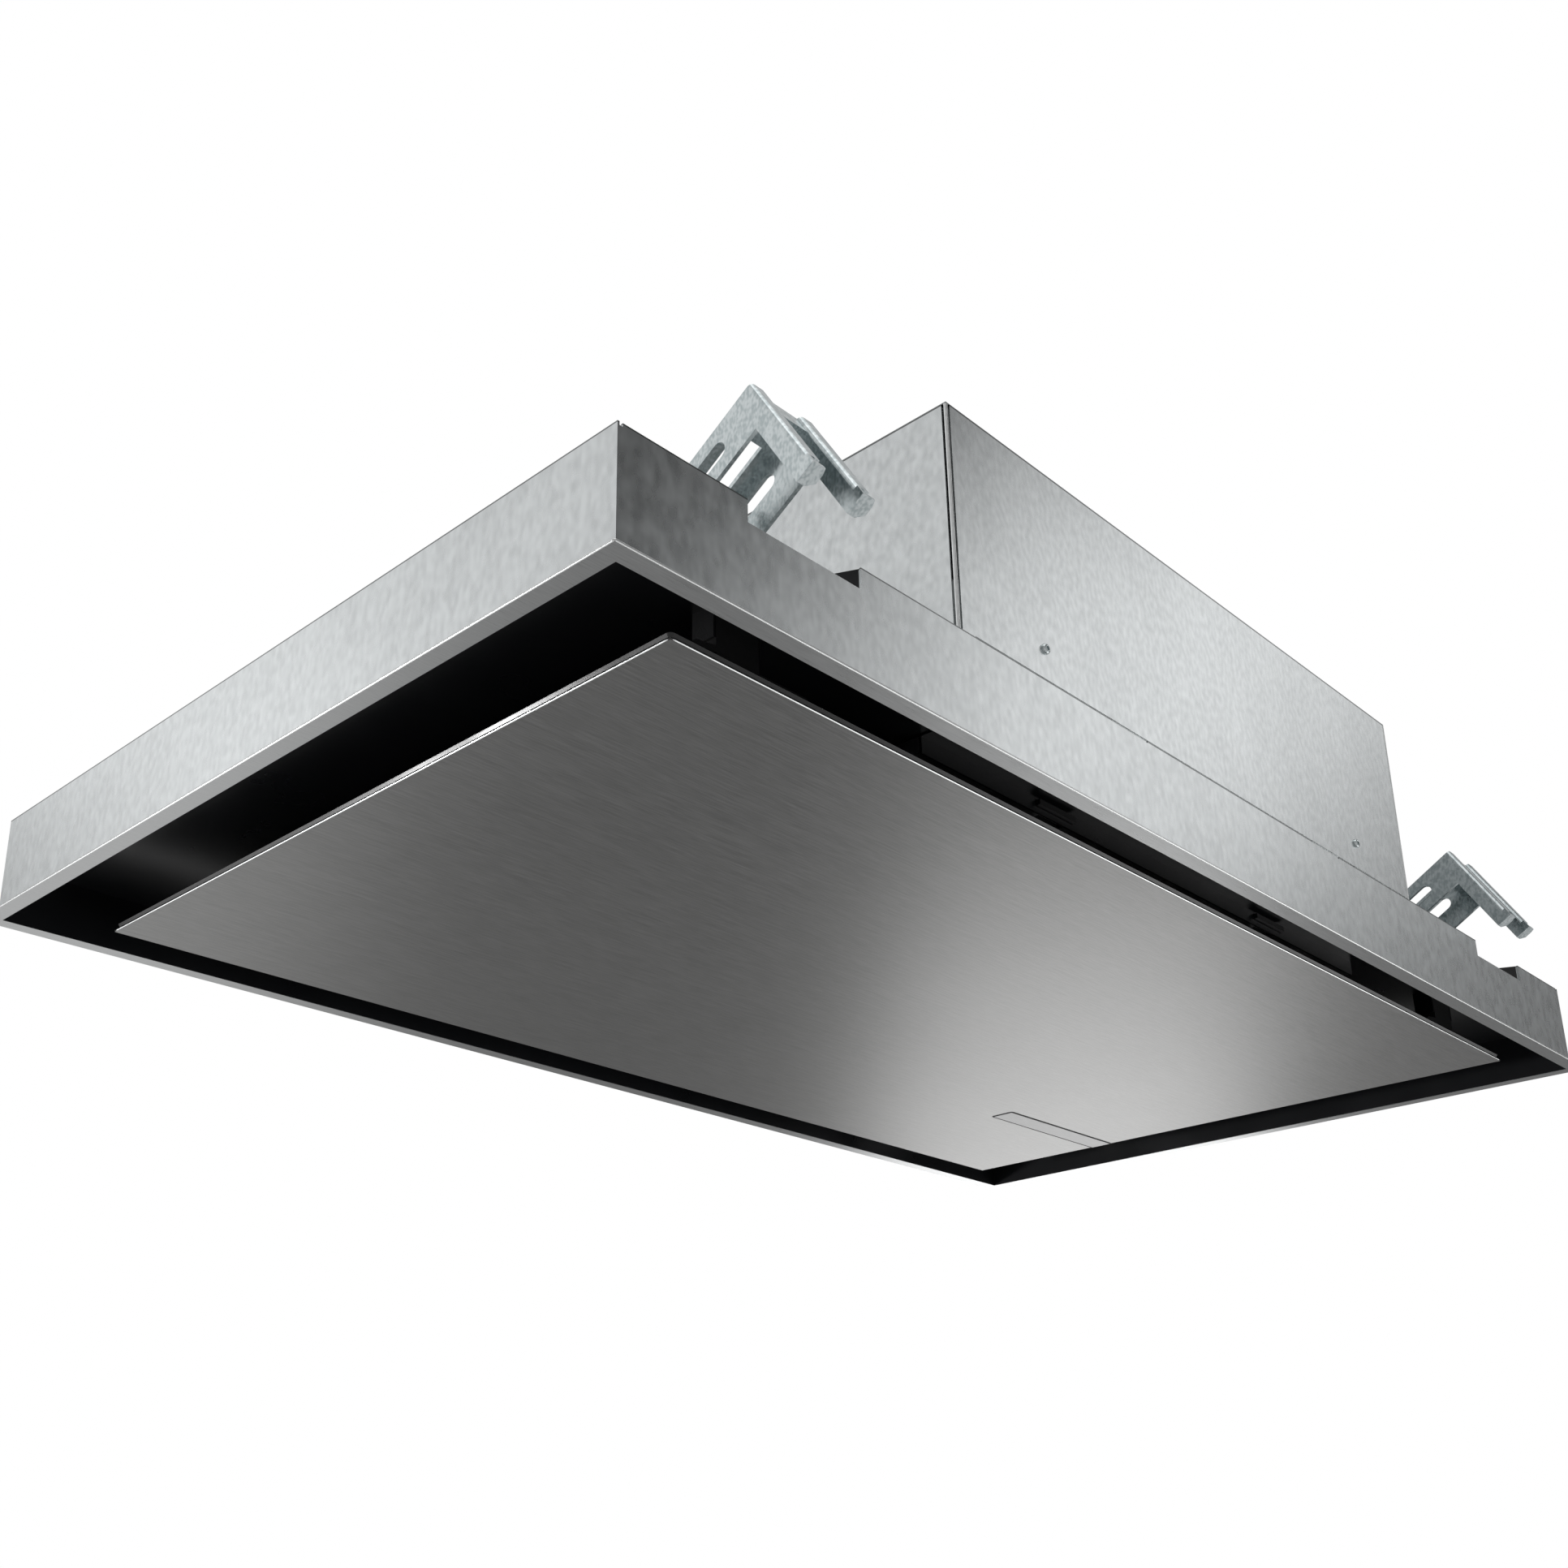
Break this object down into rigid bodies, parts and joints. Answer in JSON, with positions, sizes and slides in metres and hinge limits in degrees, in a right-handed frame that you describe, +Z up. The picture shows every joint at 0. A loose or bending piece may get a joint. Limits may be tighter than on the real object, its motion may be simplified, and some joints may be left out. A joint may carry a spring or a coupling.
{
  "type": "ceiling range hood",
  "caption": "Ceiling range hood: flanged galvanised tray with a hinged brushed suction panel, a blower box with a round side outlet on top, and pivoting ceiling clamps",
  "frame": {"origin": "centre of the flange's underside, level with the face that shows below the ceiling", "axes": "+X along the long side, to the right as seen in the picture; -Y is the long side nearest the camera, the panel's hinges are at +Y; +Z up into the ceiling"},
  "size_m": [0.9, 0.5224, 0.1877],
  "materials": {
    "flange_sheet": "galvanised steel, satin",
    "tray_sheet": "galvanised steel, fine mottle",
    "dark_sheet": "black powder coat",
    "box_sheet": "galvanised steel, fine mottle",
    "corner_bead": "galvanised steel, bright",
    "bright_zinc": "zinc plate, bright",
    "clamp_zinc": "zinc plate, blue passivated",
    "collar_sheet": "galvanised steel",
    "flap_plastic": "matt",
    "scroll_sheet": "galvanised steel",
    "black_rubber": "matt",
    "black_plastic": "satin",
    "motor_paint": "semi-gloss paint",
    "spider_sheet": "galvanised steel",
    "wheel_sheet": "pressed sheet",
    "filter_frame": "anodised",
    "filter_mesh": "expanded mesh",
    "brushed_panel": "brushed along the long side",
    "panel_black": "black powder coat",
    "badge_bare": "fine brushed, bare"
  },
  "bodies": {
    "housing": {"flange_front": "flange_sheet", "flange_back": "flange_sheet", "flange_left": "flange_sheet", "flange_right": "flange_sheet", "tray_front_wall": "tray_sheet", "tray_back_wall": "tray_sheet", "tray_left_wall": "tray_sheet", "tray_right_wall": "tray_sheet", "deck_plate": "dark_sheet", "box_base_frame": "dark_sheet", "box_front_panel": "box_sheet", "box_back_panel": "box_sheet", "box_left_panel": "box_sheet", "box_right_panel": "box_sheet", "box_top_cover": "box_sheet", "box_corner_posts": "corner_bead", "box_screws": "bright_zinc", "outlet_collar": "collar_sheet", "flap_spindle": "bright_zinc", "scroll_housing": "scroll_sheet", "scroll_lid": "scroll_sheet", "scroll_bushes": "black_rubber", "inlet_ring": "black_plastic", "fan_motor": "motor_paint", "motor_spider": "spider_sheet", "control_box": "black_plastic", "cable_gland": "black_plastic", "filter_rails": "dark_sheet", "filter_left_frame": "filter_frame", "filter_right_frame": "filter_frame", "filter_left_mesh": "filter_mesh", "filter_right_mesh": "filter_mesh", "catch_receivers": "dark_sheet", "hinge_brackets": "dark_sheet", "hinge_pins": "bright_zinc", "clamp_carriers": "clamp_zinc", "clamp_pivots": "bright_zinc", "clamp_rods": "bright_zinc", "clamp_nuts": "bright_zinc"},
    "panel": {"panel_skin": "brushed_panel", "panel_inner_frame": "panel_black", "panel_stiffeners": "panel_black", "badge_strip": "badge_bare", "hinge_arms": "panel_black", "catch_posts": "black_plastic"},
    "impeller": {"impeller_wheel": "wheel_sheet", "impeller_hub": "wheel_sheet", "motor_shaft": "bright_zinc"},
    "left_flap": {"flap_left": "flap_plastic"},
    "right_flap": {"flap_right": "flap_plastic"},
    "left_latch": {"filter_left_latch": "black_plastic"},
    "right_latch": {"filter_right_latch": "black_plastic"},
    "front_left_clamp": {"clamp_front_left": "clamp_zinc"},
    "front_right_clamp": {"clamp_front_right": "clamp_zinc"},
    "back_left_clamp": {"clamp_back_left": "clamp_zinc"},
    "back_right_clamp": {"clamp_back_right": "clamp_zinc"}
  },
  "joints": [
    {"name": "panel_hinge", "type": "hinge", "parent": "housing", "child": "panel", "pos_m": [0, 0.206, 0.012], "axis": [1, 0, 0], "range_deg": [0, 85]},
    {"name": "impeller_spin", "type": "hinge", "parent": "housing", "child": "impeller", "pos_m": [-0.03, -0.112, 0.12], "axis": [0, 0, 1], "continuous": true},
    {"name": "left_flap_hinge", "type": "hinge", "parent": "housing", "child": "left_flap", "pos_m": [0.24442, 0.00481, 0.10995], "axis": [0, 0, -1], "range_deg": [0, 75], "stiffness_Nm_per_rad": 0.004, "springref_deg": -5.73},
    {"name": "right_flap_hinge", "type": "hinge", "parent": "housing", "child": "right_flap", "pos_m": [0.24442, 0.00481, 0.10995], "axis": [0, 0, 1], "range_deg": [0, 75], "stiffness_Nm_per_rad": 0.004, "springref_deg": -5.73},
    {"name": "left_latch_slide", "type": "slide", "parent": "housing", "child": "left_latch", "axis": [0, 1, 0], "range_m": [0, 0.005], "stiffness_N_per_m": 200, "springref_m": -0.002},
    {"name": "right_latch_slide", "type": "slide", "parent": "housing", "child": "right_latch", "axis": [0, 1, 0], "range_m": [0, 0.005], "stiffness_N_per_m": 200, "springref_m": -0.002},
    {"name": "front_left_clamp_pivot", "type": "hinge", "parent": "housing", "child": "front_left_clamp", "pos_m": [-0.33975, -0.10914, 0.0482], "axis": [1, 0, 0], "range_deg": [-22, 22]},
    {"name": "front_right_clamp_pivot", "type": "hinge", "parent": "housing", "child": "front_right_clamp", "pos_m": [0.34125, -0.10914, 0.0482], "axis": [1, 0, 0], "range_deg": [-22, 22]},
    {"name": "back_left_clamp_pivot", "type": "hinge", "parent": "housing", "child": "back_left_clamp", "pos_m": [-0.33975, 0.10914, 0.0482], "axis": [-1, 0, 0], "range_deg": [-22, 22]},
    {"name": "back_right_clamp_pivot", "type": "hinge", "parent": "housing", "child": "back_right_clamp", "pos_m": [0.34125, 0.10914, 0.0482], "axis": [-1, 0, 0], "range_deg": [-22, 22]}
  ]
}
